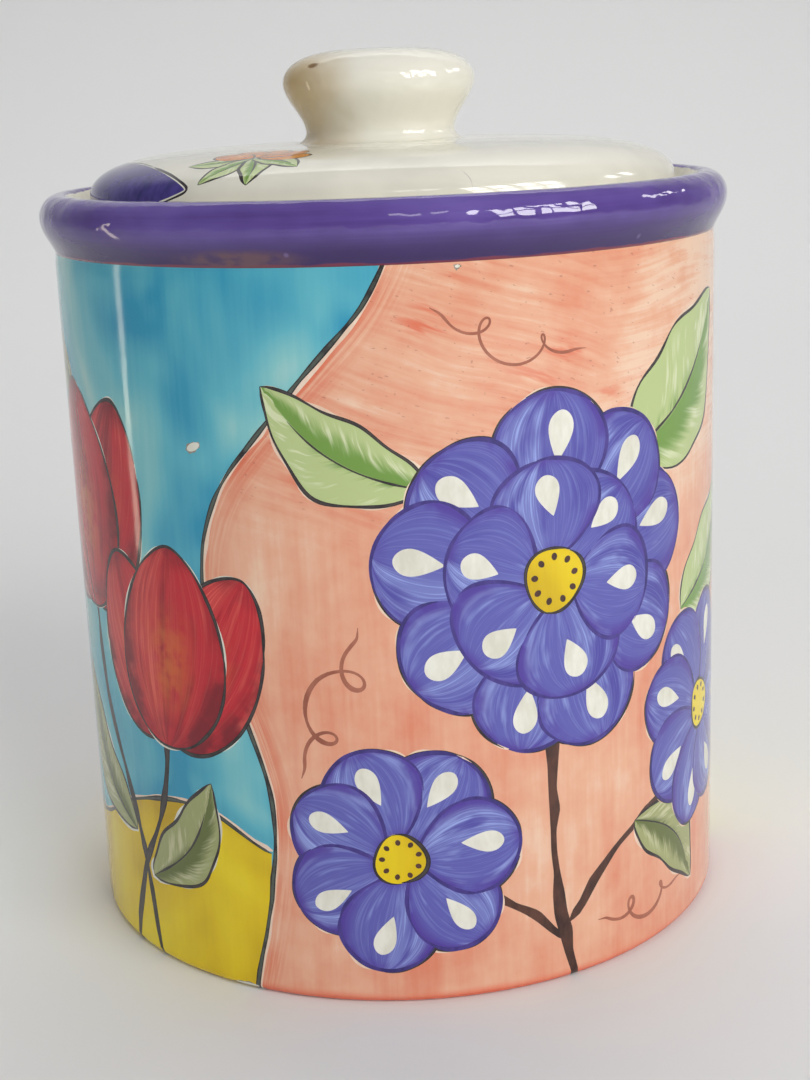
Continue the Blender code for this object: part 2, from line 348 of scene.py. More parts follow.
# Petals: a loaded brush pressed down along each, with bristle lines that bow with its sides and a deeper rim
for name, body, deep, light, rim_colour in (
    ("violet", (92, 92, 174), (76, 70, 160), (150, 166, 224), (78, 54, 152)),
    ("red", (196, 32, 46), (150, 14, 32), (228, 100, 88), (124, 10, 30)),
):
    glaze = Glaze(name + "_underglaze")
    s, n = glaze.map("brush")
    belly = glaze.maths("SINE", glaze.product(glaze.maths("POWER", s, 1.2), math.pi))
    bowed = glaze.maths("DIVIDE", n, glaze.maths("POWER", glaze.maths("MAXIMUM", belly, 0.02), 0.5))
    broad = glaze.lanes(s, 0.9, bowed, 2.4)
    fine = glaze.lanes(s, 1.3, bowed, 30.0, 2.0)
    colour = glaze.scale(broad, (0.34, deep), (0.48, body), (0.60, body), (0.76, light))
    lit = glaze.product(glaze.span(bowed, 0.0, 0.4), glaze.span(bowed, 0.98, 0.66))
    lit = glaze.product(lit, glaze.span(broad, 0.36, 0.54))
    lines = glaze.product(lit, glaze.span(fine, 0.46, 0.60))
    lines = glaze.maths("MAXIMUM", glaze.product(lit, 0.35), lines)
    faint = glaze.span(fine, 0.50, 0.66, 0.0, 0.22)
    colour = glaze.blend(glaze.maths("MAXIMUM", lines, faint), colour, light)
    ends = glaze.maths("MAXIMUM", glaze.span(s, 0.86, 1.0), glaze.span(s, 0.2, 0.0))
    edge = glaze.maths("MAXIMUM", glaze.span(glaze.maths("ABSOLUTE", bowed), 0.62, 0.96), ends)
    edge = glaze.product(edge, glaze.span(glaze.noise(0.011), 0.36, 0.56, 0.25, 0.95))
    colour = glaze.blend(edge, colour, rim_colour)
    if name == "red":
        glow = glaze.product(glaze.span(s, 0.10, 0.40), glaze.span(s, 0.78, 0.45))
        glow = glaze.product(glow, glaze.span(glaze.noise(0.007), 0.3, 0.6))
        glow = glaze.product(glow, glaze.span(glaze.maths("ABSOLUTE", n), 0.6, 0.05, 0.0, 0.6))
        colour = glaze.blend(glow, colour, (220, 118, 48))
    paint[name] = glaze.fired(colour)

# Leaves: short strokes from the rib out to the edge, deeper on one side of the rib, and paler ones over them
for name, body, deep, light in (
    ("leaf", (184, 200, 138), (112, 152, 66), (222, 228, 190)),
    ("olive", (160, 166, 112), (100, 112, 58), (204, 204, 164)),
):
    glaze = Glaze(name + "_underglaze")
    s, n = glaze.map("brush")
    wide = glaze.maths("ABSOLUTE", n)
    forward = glaze.sum((1.0, s), (-0.24, wide))
    broad, fine = glaze.lanes(forward, 11.0, n, 1.1, 2.0), glaze.lanes(forward, 55.0, n, 1.6, 2.0)
    tone = glaze.sum((0.6, broad), (0.4, fine))
    paler = glaze.product(glaze.span(tone, 0.50, 0.60), glaze.span(wide, 1.0, 0.5), 0.8)
    colour = glaze.blend(paler, body, light)
    shaded = glaze.span(glaze.sum((1.0, wide), (0.9, tone)), 1.20, 0.72)
    shaded = glaze.product(glaze.span(n, 0.03, -0.06), shaded)
    both = glaze.product(glaze.span(wide, 0.30, 0.0), glaze.span(s, 0.9, 0.3), glaze.span(tone, 0.40, 0.56))
    paint[name] = glaze.fired(glaze.blend(glaze.maths("MAXIMUM", shaded, both), colour, deep))

# Plain paints, a little uneven: highlights, bare edges, small flowers, stems, tendrils, chips with painted
# shadow, and a hairline
for name, low, high in (
    ("white", (216, 214, 198), (234, 233, 221)),
    ("pale", (228, 196, 170), (238, 216, 196)),
    ("orange", (206, 112, 34), (232, 158, 58)),
    ("stem", (54, 32, 28), (92, 58, 46)),
    ("indigo", (46, 38, 108), (74, 60, 142)),
    ("curl", (150, 84, 64), (176, 108, 86)),
    ("crack", (126, 116, 102), (168, 160, 146)),
    ("hairline", (176, 174, 166), (206, 202, 190)),
):
    glaze = Glaze(name + "_underglaze")
    mottle = glaze.sum((0.6, glaze.noise(0.009, 0.016)), (0.4, glaze.noise(0.0022, 0.005)))
    paint[name] = glaze.fired(glaze.scale(mottle, (0.38, low), (0.60, high)))

# The dark lines round the motifs and between the fields, worn paler in the middle of the stroke
for name, middle, reach, even in (
    ("outline", (82, 76, 74), 0.55, 0.34),
    ("border", (84, 92, 84), 0.9, 0.30),
):
    glaze = Glaze(name + "_underglaze")
    s, n = glaze.map("brush")
    core = glaze.span(glaze.maths("ABSOLUTE", n), 0.78, 0.36, 0.0, reach)
    dry = glaze.product(core, glaze.span(glaze.noise(0.006, detail=4.0), even, even + 0.26))
    paint[name] = glaze.fired(glaze.blend(dry, (38, 30, 34), middle))

# The cream glaze of the inside and the lid, and the bare clay that the foot stands on
for name, colour, rough in (
    ("cream_glaze", (230, 227, 212), (0.05, 0.10)),
    ("bare_clay", (206, 194, 170), (0.75, 0.85)),
):
    glaze = Glaze(name)
    darker = tuple(0.94 * c for c in colour)
    paint[name] = glaze.fired(glaze.blend(glaze.span(glaze.noise(0.03), 0.35, 0.7), colour, darker), rough)


def unit(ways):
    """The same directions, each of length one."""
    return ways / np.maximum(np.linalg.norm(ways, axis=-1), 1e-9)[..., None]


def left_of(ways):
    """Directions turned a quarter to the left."""
    return np.stack([-ways[..., 1], ways[..., 0]], -1)


def run_along(line):
    """How far along a line each of its points lies."""
    return np.concatenate([[0.0], np.cumsum(np.linalg.norm(np.diff(line, axis=0), axis=1))])


def turned_rows(corners, degrees=9.0):
    """A turned outline through (radius, height, rounding) corners, down the outer side of the piece.

    Gives rows of radius, height and the outward normal's parts. A corner without rounding lies on a curve.
    """
    places = np.array([corner[:2] for corner in corners], float)
    runs = unit(np.diff(places, axis=0))
    rows = [(*places[0], *left_of(runs[0]))]
    for place, before, after, (_, _, rounding) in zip(places[1:], runs, runs[1:], corners[1:]):
        turn = math.atan2(before[0] * after[1] - before[1] * after[0], float(before @ after))
        side = math.copysign(1.0, turn)
        outward = left_of(before)
        if rounding == 0 or abs(turn) < 1e-4:
            centre, rounding, angles = place, 0.0, [turn / 2]
        else:
            centre = place - before * rounding * math.tan(abs(turn) / 2) + side * rounding * outward
            steps = max(2, math.ceil(abs(math.degrees(turn)) / degrees))
            angles = [turn * step / steps for step in range(steps + 1)]
        for angle in angles:
            normal = math.cos(angle) * outward + math.sin(angle) * left_of(outward)
            rows.append((*(centre - side * rounding * normal), *normal))
    rows.append((*places[-1], *left_of(runs[-1])))
    return np.array(rows)


def hand_curve(points, spacing=1.6):
    """A smooth curve through given points, as points about `spacing` mm apart."""
    p = np.array(points, float)
    p = np.vstack([2 * p[0] - p[1], p, 2 * p[-1] - p[-2]])
    found = []
    for i in range(1, len(p) - 2):
        count = max(2, int(np.linalg.norm(p[i + 1] - p[i]) / spacing))
        t = np.linspace(0, 1, count, endpoint=False)[:, None]
        square = (2 * p[i - 1] - 5 * p[i] + 4 * p[i + 1] - p[i + 2]) * t**2
        cube = (3 * p[i] - p[i - 1] - 3 * p[i + 1] + p[i + 2]) * t**3
        found.append(0.5 * (2 * p[i] + (p[i + 1] - p[i - 1]) * t + square + cube))
    return np.vstack([*found, p[-2:-1]])


# Shapes of paint, each laid over the ones before it
paints = []


def dab(glaze, outline, frame=None):
    paints.append({"glaze": glaze, "outline": np.array(outline, float)})
    if frame:
        paints[-1]["frame"] = frame


def stroke(glaze, path, width, seed, lift=5.0, shift=0.0):
    """The mark of a loaded brush along a path: it swells and thins, and is lifted at both ends."""
    aside = left_of(unit(np.gradient(path, axis=0)))
    run = run_along(path)
    hand = np.random.default_rng(seed)
    knots = np.linspace(0, run[-1], max(3, int(run[-1] / 6)))
    swell = np.interp(run, knots, hand.uniform(0.5, 1.3, len(knots)))
    ends = np.clip(np.minimum(run, run[-1] - run) / lift, 0.12, 1.0) ** 0.7
    wander = np.interp(run, knots, hand.normal(0, width * 0.10, len(knots)))[:, None] * aside
    half = width / 2 * swell * ends
    middle = path + wander + shift * aside
    outline = np.vstack([middle + half[:, None] * aside, (middle - half[:, None] * aside)[::-1]])
    paints.append({"glaze": glaze, "outline": outline, "path": middle, "half": half})


def inside(places, outline):
    """Which places lie inside an outline, also where the outline crosses itself."""
    x, y = places[:, 0][:, None], places[:, 1][:, None]
    x0, y0 = outline[:, 0], outline[:, 1]
    x1, y1 = np.roll(x0, -1), np.roll(y0, -1)
    left = (x1 - x0) * (y - y0) - (x - x0) * (y1 - y0)
    up = (y0 <= y) & (y1 > y) & (left > 0)
    down = (y0 > y) & (y1 <= y) & (left < 0)
    return (up.sum(1) - down.sum(1)) != 0


def lay_paint(places, edges, paints, keep):
    """Cuts a flat sheet along every painted outline. Gives its places, triangles and their top paints."""
    places, edges = [tuple(place) for place in places], list(edges)
    for paint in paints:
        first, count = len(places), len(paint["outline"])
        places += [tuple(place) for place in paint["outline"]]
        edges += [(first + i, first + (i + 1) % count) for i in range(count)]
    cut, _, triangles, *_ = delaunay_2d_cdt([Vector(place) for place in places], edges, [], 0, 1e-4, False)
    cut, triangles = np.array(cut), np.array(triangles)
    middles = cut[triangles].mean(1)
    kept = keep(middles)
    triangles, middles = triangles[kept], middles[kept]
    top = np.full(len(triangles), -1)
    for i, paint in enumerate(paints):
        low, high = paint["outline"].min(0), paint["outline"].max(0)
        near = np.flatnonzero(((middles >= low) & (middles <= high)).all(1))
        if len(near):
            top[near[inside(middles[near], paint["outline"])]] = i
    used, triangles = np.unique(triangles, return_inverse=True)
    return cut[used], triangles.reshape(-1, 3), top


def toward(angle):
    return np.array([math.cos(angle), math.sin(angle)])


def brush_place(shape, places):
    """Where places lie in a painted shape: how far along it, from 0 to 1, and from -1 to 1 across it."""
    places = places - shape.get("shift", np.zeros(2))
    if "path" in shape:
        path = shape["path"]
        steps = np.diff(path, axis=0)
        lengths = np.maximum(np.linalg.norm(steps, axis=1), 1e-9)
        away = places[:, None] - path[None, :-1]
        along = np.clip((away * steps).sum(2) / lengths**2, 0, 1)
        apart = away - along[..., None] * steps
        nearest = np.linalg.norm(apart, axis=2).argmin(1)
        rows = np.arange(len(places))
        step, apart, along = steps[nearest], apart[rows, nearest], along[rows, nearest]
        side = (step[:, 0] * apart[:, 1] - step[:, 1] * apart[:, 0]) / lengths[nearest]
        run = run_along(path)[nearest] + along * lengths[nearest]
        half = shape["half"][nearest] * (1 - along) + shape["half"][nearest + 1] * along
        return np.stack([run / lengths.sum(), side / half], -1)
    root, heading, length, half_width = shape["frame"]
    along = toward(heading)
    away = places - np.array(root)
    return np.stack([away @ along / length, away @ left_of(along) / half_width], -1)


class Clay:
    """A clay piece as it grows: points, outward normals, and faces, each with its glaze and two maps."""

    def __init__(self):
        self.points, self.normals, self.faces, self.glazes, self.wall, self.brush = [], [], [], [], [], []

    def raise_sheet(self, angles, radii, heights, out, up):
        """Stands a sheet's points round the axis. Out and up are the two parts of their normals."""
        s, c = np.sin(angles), np.cos(angles)
        self.points = list(zip(radii * s * MM, -radii * c * MM, heights * MM))
        self.normals = list(zip(out * s, -out * c, up))

    def paint_on(self, places, triangles, top, paints, ground, away):
        """The faces of a painted sheet. Off its strokes, the brush map says how far away the borders are."""
        self.faces = triangles.tolist()
        self.glazes = [ground if i < 0 else paints[i]["glaze"] for i in top]
        brush = np.stack([away[triangles] / 10, np.zeros(triangles.shape)], -1)
        for i, shape in enumerate(paints):
            mine = np.flatnonzero(top == i)
            if len(mine) and ("path" in shape or "frame" in shape):
                brush[mine] = brush_place(shape, places[triangles[mine]].reshape(-1, 2)).reshape(-1, 3, 2)
        self.brush, self.wall = list(brush), list(places[triangles] / 100)

    def ring(self, row, angles):
        """Points round the axis at one row of a turned outline. Angles are from the front, to the right."""
        radius, height, out, up = row
        first = len(self.points)
        if radius < 1e-6:
            angles = angles[:1]
        for angle in angles:
            s, c = math.sin(angle), math.cos(angle)
            self.points.append((radius * s * MM, -radius * c * MM, height * MM))
            self.normals.append((out * s, -out * c, up))
        return list(range(first, first + len(angles)))

    def turn(self, rows, angles, glaze, start=None, rising=False):
        """Faces between the rows of a turned outline. Rising rows run up the outer side and not down it."""
        rows = [tuple(row) for row in rows]
        last = start if start is not None else self.ring(rows[0], angles)
        travel = 0.0
        for before, row in zip(rows, rows[1:]):
            ring = self.ring(row, angles)
            step = math.dist(before[:2], row[:2])
            for i in range(len(angles)):
                j = (i + 1) % len(angles)
                left, right = angles[i], angles[j] + (math.tau if j == 0 else 0.0)
                corners = [
                    (last[i % len(last)], left, travel),
                    (ring[i % len(ring)], left, travel + step),
                    (ring[j % len(ring)], right, travel + step),
                    (last[j % len(last)], right, travel),
                ]
                if len(ring) == 1:
                    corners.pop(2)
                if len(last) == 1:
                    corners.pop(3)
                if rising:
                    corners.reverse()
                self.faces.append([corner[0] for corner in corners])
                self.glazes.append(glaze)
                self.wall.append([(corner[1], corner[2] / 100) for corner in corners])
                self.brush.append([(0.0, 0.0)] * len(corners))
            last = ring
            travel += step

    def fire(self, name):
        """The finished piece as an object."""
        mesh = bpy.data.meshes.new(name)
        mesh.from_pydata(self.points, [], self.faces)
        used = sorted(set(self.glazes))
        for glaze in used:
            mesh.materials.append(paint[glaze])
        mesh.polygons.foreach_set("material_index", [used.index(glaze) for glaze in self.glazes])
        for label, places in (("wall", self.wall), ("brush", self.brush)):
            flat = np.array([value for face in places for corner in face for value in corner], np.float32)
            mesh.uv_layers.new(name=label).data.foreach_set("uv", flat)
        mesh.shade_smooth()
        mesh.normals_split_custom_set_from_vertices(self.normals)
        mesh.validate()
        piece = bpy.data.objects.new(name, mesh)
        bpy.context.scene.collection.objects.link(piece)
        return piece


def draw_round(glaze, outline, width, seed, strokes=2):
    """A line round a closed outline in a few strokes, with overlaps and gaps where the brush was lifted."""
    hand = np.random.default_rng(seed)
    count = len(outline)
    first = int(hand.integers(count))
    for i in range(strokes):
        start = first + i * count // strokes + int(hand.integers(-2, 2))
        stop = first + (i + 1) * count // strokes + int(hand.integers(-2, 3))
        path = outline[np.arange(start, stop) % count]
        stroke(glaze, path, width, seed + i + 1, 5.0, hand.normal(0, 0.12))


def grown(outline, amount, uneven=0.0):
    """A closed outline moved outwards, here more and there less if it is uneven."""
    around = np.linspace(0, math.tau, len(outline), endpoint=False)
    waves = np.sin(3 * around + outline[0, 0]) + np.sin(7 * around + outline[0, 1])
    amount = amount + uneven * waves[:, None]
    step = unit(np.roll(outline, -1, 0) - np.roll(outline, 1, 0))
    x, y = outline[:, 0], outline[:, 1]
    turn = np.sign(np.sum(x * np.roll(y, -1) - y * np.roll(x, -1)))
    return outline - amount * turn * left_of(step)


def laid(shape, heading, place):
    """A shape turned to a heading and set down at a place."""
    c, s = toward(heading)
    return shape @ np.array([[c, s], [-s, c]]) + np.array(place)


def oval(root, heading, length, half_width, widest=1.2, blunt=0.5, points=80):
    """A petal's outline: widest near its tip where `widest` is over 1, and blunter where `blunt` is low."""
    share = (1 - np.cos(np.linspace(0, math.pi, points // 2))) / 2
    spread = half_width * np.sin(math.pi * share**widest).clip(0) ** blunt
    near = np.stack([share * length, spread], 1)
    far = np.stack([share * length, -spread], 1)[::-1][1:-1]
    return laid(np.vstack([near, far]), heading, root)


def stalk(glaze, points, width, seed):
    stroke(glaze, hand_curve(points), width, seed, 3.0)


def violet_flower(centre, radius, rings, turn, seed):
    """An open flower with overlapping violet petals, each with a white teardrop and an indigo line."""
    hand = np.random.default_rng(seed)
    centre = np.array(centre, float)
    petals = []
    for ring, (count, near, far) in enumerate(rings):
        for i in range(count):
            heading = turn + math.tau * (i + 0.5 * ring) / count + hand.uniform(-0.07, 0.07)
            root = centre + radius * near * toward(heading)
            length = radius * (far - near) * hand.uniform(0.93, 1.05)
            half_width = radius * far * math.sin(math.pi / count) * hand.uniform(0.92, 1.04)
            petals.append((tuple(root), heading + hand.uniform(-0.12, 0.12), length, half_width))
    for petal in petals:
        dab("pale", grown(oval(*petal), 0.45, 0.5))
    for i, petal in enumerate(petals):
        draw_round("outline", grown(oval(*petal), 0.35), 1.0, seed + 40 * i, 3)
    for i, petal in enumerate(petals):
        root, heading, length, half_width = petal
        shape = oval(*petal)
        dab("violet", shape, petal)
        along = toward(heading)
        aside = left_of(along) * half_width * hand.uniform(-0.1, 0.16)
        eye = np.array(root) + along * length * 0.42 + aside
        drop = oval(eye, heading + hand.uniform(-0.2, 0.2), length * 0.42, half_width * 0.22, 1.7, 0.52, 44)
        dab("white", drop)
        draw_round("indigo", shape, 1.05, seed + 40 * i + 20)
    heart = radius * rings[-1][1] * 1.5
    around = np.linspace(0, math.tau, 44, endpoint=False)
    wobble = heart * (1 + 0.06 * np.sin(3 * around + seed))
    rim = centre + np.stack([wobble * np.cos(around), wobble * np.sin(around)], 1)
    dab("mustard", rim)
    draw_round("outline", rim, 1.1, seed + 5)
    for angle in np.arange(0, math.tau, math.tau / 9):
        spot = centre + heart * 0.58 * toward(angle + turn)
        dab("stem", oval(spot, angle + turn, heart * 0.24, heart * 0.10, 1.0, 0.5, 16))


def leaf(root, tip, half_width, bend, kind, seed, halo="pale"):
    """A leaf along a bent rib, with a thin line along the rib and round the edge."""
    root, tip = np.array(root, float), np.array(tip, float)
    run = tip - root
    across = left_of(run) / np.linalg.norm(run)
    share = np.linspace(0, 1, 34)
    rib = root + share[:, None] * run + (bend * np.sin(math.pi * share))[:, None] * across
    spread = half_width * np.sin(math.pi * share**0.85).clip(0) ** 0.8
    spread *= 1 + 0.06 * np.sin(share * 15 + seed)
    left, right = rib + spread[:, None] * across, rib - spread[:, None] * across
    shape = np.vstack([left, right[::-1][1:-1]])
    if halo:
        dab(halo, grown(shape, 0.4, 0.5))
    paints.append({"glaze": kind, "outline": shape, "path": rib, "half": np.maximum(spread, 0.4)})
    stroke("outline", rib[:27], 0.75, seed + 31, 8.0)
    stroke("outline", left, 0.95, seed + 32, 4.0)
    stroke("outline", right, 0.95, seed + 33, 4.0)


def tulip(foot, height, lean, seed):
    """A red tulip from the side: two petals behind and one before them, each with a dark line round it."""
    foot = np.array(foot, float)
    for side, length, width in ((0.62, 0.90, 0.29), (-0.62, 0.94, 0.29), (0.0, 0.97, 0.34)):
        heading = math.pi / 2 + lean + side * 0.62
        root = foot + np.array([-side * height * 0.10, abs(side) * height * 0.03])
        frame = (tuple(root), heading, height * length, height * width)
        shape = oval(*frame, 0.82, 0.56, 96)
        dab("white", grown(shape, 0.3, 0.4))
        dab("red", shape, frame)
        draw_round("outline", shape, 1.05, seed + int(side * 10) + 20)


def curl(start, heading, length, loop, width, seed):
    """A tendril: a thin brown line that curls as it goes."""
    share = np.linspace(0, 1, 96)
    radius = loop * np.sin(math.pi * share) ** 2 * (1 - 0.3 * share)
    angle = math.tau * 2.9 * share + 1.6
    along = share * length + radius * np.cos(angle) - radius[0]
    across = radius * np.sin(angle) + 0.12 * length * np.sin(2.4 * share + seed)
    stroke("curl", laid(np.stack([along, across], 1), heading, start), width, seed)


# The fields: coral is the ground, with turquoise above mustard at the left and again behind the right side.
# A dark brush line runs between two fields, with a bare edge beside it.
left_edge = [(2, 212), (-8, 194), (-30, 170), (-50, 145), (-56, 118)]
left_edge += [(-47, 90), (-38, 60), (-40, 30), (-48, -6)]
left_split = [(-39, 44), (-64, 54), (-94, 48), (-124, 34), (-158, 38), (-192, 62), (-226, 66)]
left_back = [(-216, 212), (-205, 178), (-222, 140), (-236, 104), (-226, 66), (-212, 32), (-220, -6)]
right_edge = [(172, 212), (160, 182), (170, 146), (184, 112), (172, 78), (154, 44), (162, -6)]
right_split = [(182, 112), (204, 96), (228, 92), (252, 106), (268, 118)]
right_back = [(252, 212), (262, 184), (282, 152), (268, 118), (250, 84), (252, 44), (268, -6)]
for edge, split, back, near, far in (
    (left_edge, left_split, left_back, 7, 4),
    (right_edge, right_split, right_back, 3, 3),
):
    dab("turquoise", np.vstack([hand_curve(edge), hand_curve(back[::-1])]))
    below = [hand_curve(split), hand_curve(back[far:]), edge[-1:], hand_curve(edge[near:])[::-1]]
    dab("mustard", np.vstack(below))
borders = (left_edge, left_split, left_back, right_edge, right_split, right_back)
for i, (path, side) in enumerate(zip(borders, (1, -1, -1, -1, -1, 1))):
    line = hand_curve(path, 2.0)
    stroke("pale", line, 1.6, 100 + 10 * i, 2.0, 0.5 * side)
    stroke("border", line, 1.35, 101 + 10 * i, 2.0)

# The flowers on the coral, on brown stems that rise from the foot
stalk("stem", [(50, -4), (44, 24), (42, 56), (44, 92)], 3.6, 301)
stalk("stem", [(47, 18), (64, 36), (88, 48), (112, 60)], 2.8, 302)
stalk("stem", [(46, 12), (34, 24), (18, 34), (6, 42)], 2.6, 303)
leaf((72, 42), (104, 12), 10.0, 6.0, "olive", 312)
leaf((70, 150), (122, 190), 19.0, -6.0, "leaf", 313)
leaf((96, 100), (140, 132), 14.0, -5.0, "leaf", 314)
leaf((8, 148), (-34, 176), 11.0, 6.0, "leaf", 315)
violet_flower((44, 120), 50.0, ((9, 0.36, 1.0), (6, 0.12, 0.68)), 0.2, 321)
violet_flower((112, 66), 36.0, ((8, 0.14, 1.0),), 0.5, 322)
violet_flower((-2, 44), 33.0, ((7, 0.15, 1.0),), 1.0, 323)
curl((-16, 112), -1.75, 46.0, 8.5, 1.2, 341)
curl((128, 106), 1.2, 42.0, 7.5, 1.2, 342)
curl((12, 198), -0.35, 46.0, 6.5, 1.1, 343)
curl((58, 20), -0.2, 38.0, 5.5, 1.1, 344)

# Two tulips on the turquoise, on stems that cross over the mustard
stalk("outline", [(-112, 112), (-108, 78), (-92, 40), (-84, -4)], 2.6, 401)
stalk("outline", [(-74, 78), (-78, 52), (-92, 24), (-100, -4)], 2.6, 402)
leaf((-94, 38), (-128, 84), 11.0, 9.0, "olive", 412, "white")
leaf((-86, 26), (-58, 62), 9.5, -6.0, "olive", 411, "white")
leaf((-118, 168), (-150, 196), 8.0, 4.0, "olive", 413, "white")
tulip((-112, 104), 70.0, 0.10, 421)
tulip((-74, 70), 62.0, -0.10, 431)

# A flower on the coral at the back, and a tulip on the turquoise behind the right side
stalk("stem", [(-290, -4), (-296, 28), (-292, 60), (-294, 96)], 3.2, 501)
leaf((-293, 44), (-330, 84), 12.0, 7.0, "olive", 511)
leaf((-294, 30), (-256, 62), 11.0, -6.0, "leaf", 512)
violet_flower((-294, 122), 42.0, ((8, 0.14, 1.0),), 0.3, 521)
stalk("outline", [(222, 122), (216, 84), (222, 40), (216, -4)], 2.6, 531)
leaf((219, 50), (248, 92), 10.0, -6.0, "olive", 532, "white")
leaf((220, 34), (190, 72), 9.0, 6.0, "olive", 533, "white")
tulip((222, 116), 66.0, -0.05, 541)

# A blister in the glaze beside a tulip, and small chips at the neck and the foot. Each has a dark edge, set
# down and to the left so that it is thicker there, as painted shadow.
for place, turn, length, half_width in (
    ((-58, 158), 0.4, 4.6, 1.1),
    ((18, 205.2), 0.1, 1.3, 0.4),
    ((-54, 1.2), 0.02, 8.0, 0.6),
):
    chip = oval(place, turn, length, half_width, 1.0, 0.5, 30)
    # Painted shadow: the dark edge is shifted down and left, so that it shows thicker on that side
    dab("crack", grown(chip, 0.3, 0.16) - (0.12, 0.10))
    dab("white", chip)

# The unrolled sheet, cut along the paint. It runs in under the foot's edge. Its two upright edges meet at
# the back, where the shapes that cross them are laid once more from the other side.
COLUMN = 5.0
SEAM_WIDTH = 0.01
sheet_low, sheet_high = FOOT_EDGE * (1 - math.pi / 2), NECK_HEIGHT
columns = np.linspace(-HALF_GIRTH, HALF_GIRTH, int(2 * HALF_GIRTH / COLUMN) + 1)
foot_rows = np.linspace(sheet_low, FOOT_EDGE, 7)
wall_rows = np.linspace(FOOT_EDGE, NECK_HEIGHT - NECK_CURVE, 26)[1:-1]
neck_rows = np.linspace(NECK_HEIGHT - NECK_CURVE, NECK_HEIGHT, 5)
heights = np.concatenate([foot_rows, wall_rows, neck_rows])
grid = [(u, v) for v in heights for u in columns]
numbers = np.arange(len(grid)).reshape(len(heights), len(columns))
edges = []
for side in (numbers[0], numbers[-1], numbers[:, 0], numbers[:, -1]):
    edges += zip(side[:-1].tolist(), side[1:].tolist())


def on_wall(middles):
    in_height = (middles[:, 1] > sheet_low) & (middles[:, 1] < sheet_high)
    return in_height & (np.abs(middles[:, 0]) < HALF_GIRTH)


over_the_seam = []
for shape in paints:
    for shift in (-2 * HALF_GIRTH, 2 * HALF_GIRTH):
        moved = shape["outline"] + np.array([shift, 0.0])
        if moved[:, 0].min() < HALF_GIRTH and moved[:, 0].max() > -HALF_GIRTH:
            over_the_seam.append({**shape, "outline": moved, "shift": np.array([shift, 0.0])})
paints += over_the_seam
places, triangles, top = lay_paint(grid, edges, paints, on_wall)

jar = Clay()
angles = places[:, 0] / JAR_RADIUS
tilt = np.clip((FOOT_EDGE - places[:, 1]) / FOOT_EDGE, 0.0, math.pi / 2)
tuck = np.clip((places[:, 1] - NECK_HEIGHT + NECK_CURVE) / NECK_CURVE, 0.0, 1.0)
radii = JAR_RADIUS - FOOT_EDGE * (1 - np.cos(tilt)) - NECK_TUCK * (1 - np.cos(math.pi * tuck)) / 2
levels = np.where(tilt > 0, FOOT_EDGE * (1 - np.sin(tilt)), places[:, 1])
rise = NECK_TUCK * math.pi / 2 / NECK_CURVE * np.sin(math.pi * tuck) - np.sin(tilt)
level = np.where(tilt > 0, np.cos(tilt), 1.0)
jar.raise_sheet(angles, radii, levels, level, rise)
left_side = np.flatnonzero(places[:, 0] < SEAM_WIDTH - HALF_GIRTH)
twin = np.arange(len(places))
for i in np.flatnonzero(places[:, 0] > HALF_GIRTH - SEAM_WIDTH):
    apart = np.abs(places[left_side, 1] - places[i, 1])
    if apart.min() < 2 * SEAM_WIDTH:
        twin[i] = left_side[np.argmin(apart)]
lines = np.vstack([hand_curve(path, 0.6) for path in borders])
lines = np.vstack([lines + (shift, 0.0) for shift in (-2 * HALF_GIRTH, 0.0, 2 * HALF_GIRTH)])
away = np.array([np.sqrt(((lines - place) ** 2).sum(1).min()) for place in places])
jar.paint_on(places, triangles, top, paints, "coral", away)
jar.faces = twin[triangles].tolist()


def sheet_ring(level):
    """The sheet's points along one of its edges, from the back round by the left, and their angles."""
    found = [i for i in range(len(places)) if abs(places[i, 1] - level) < 0.005 and twin[i] == i]
    found.sort(key=lambda i: places[i, 0])
    return found, [places[i, 0] / JAR_RADIUS for i in found]


# The foot: bare where it stands, and glazed in the hollow inside it
foot_ring, foot_angles = sheet_ring(sheet_low)
foot_outer, foot_inner = JAR_RADIUS - FOOT_EDGE, JAR_RADIUS - FOOT_EDGE - FOOT_WIDTH
foot_corners = [
    (foot_outer, 0.0, 0.0),
    (foot_inner, 0.0, 0.5),
    (foot_inner - FOOT_RECESS, FOOT_RECESS, 0.8),
    (0.0, FOOT_RECESS, 0.0),
]
foot_line = turned_rows(foot_corners)
jar.turn(foot_line[:4], foot_angles, "bare_clay", foot_ring)
jar.turn(foot_line[3:], foot_angles, "cream_glaze")

# The inside: from the middle of the floor, up the wall, and over the neck to the sheet's top edge
neck_ring, neck_angles = sheet_ring(sheet_high)
inner = JAR_RADIUS - JAR_WALL
inside_corners = [
    (0.0, FLOOR_TOP, 0.0),
    (inner, FLOOR_TOP, FLOOR_CORNER),
    (inner, NECK_HEIGHT - NECK_LAP, 1.0),
    (JAR_RADIUS - NECK_TUCK, NECK_HEIGHT - NECK_LAP, 0.0),
]
inside_line = turned_rows(inside_corners, 6.0)[::-1]
jar.turn(inside_line, neck_angles, "cream_glaze", neck_ring, rising=True)
painted_jar = jar.fire("painted_jar")
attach(painted_jar, "jar")
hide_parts("jar_body")


# The rim: a rolled collar in the same clay, with a spigot joined into the pot's neck with slip. It is glazed
# violet from the neck up over the roll to the inner lip. Its inside, with the lid's ledge, is cream.
rim_low, rim_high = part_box("rim_collar")
RIM_RADIUS = rim_high.x / MM
RIM_TOP = rim_high.z / MM
ROLL_WIDTH = 6.0
ROLL_HEIGHT = 6.8
LIP = 95.7
LEDGE = 216.1
LEDGE_RADIUS = 92.0
THROAT = 82.0
THROAT_FOOT = 210.1
SPIGOT_OUTER = 93.2
SPIGOT_INNER = 88.7
SPIGOT_BORE_TOP = 203.6
SPIGOT_FOOT = rim_low.z / MM
NECK_RADIUS = JAR_RADIUS - NECK_TUCK
EVEN_ANGLES = [math.tau * i / 192 for i in range(192)]

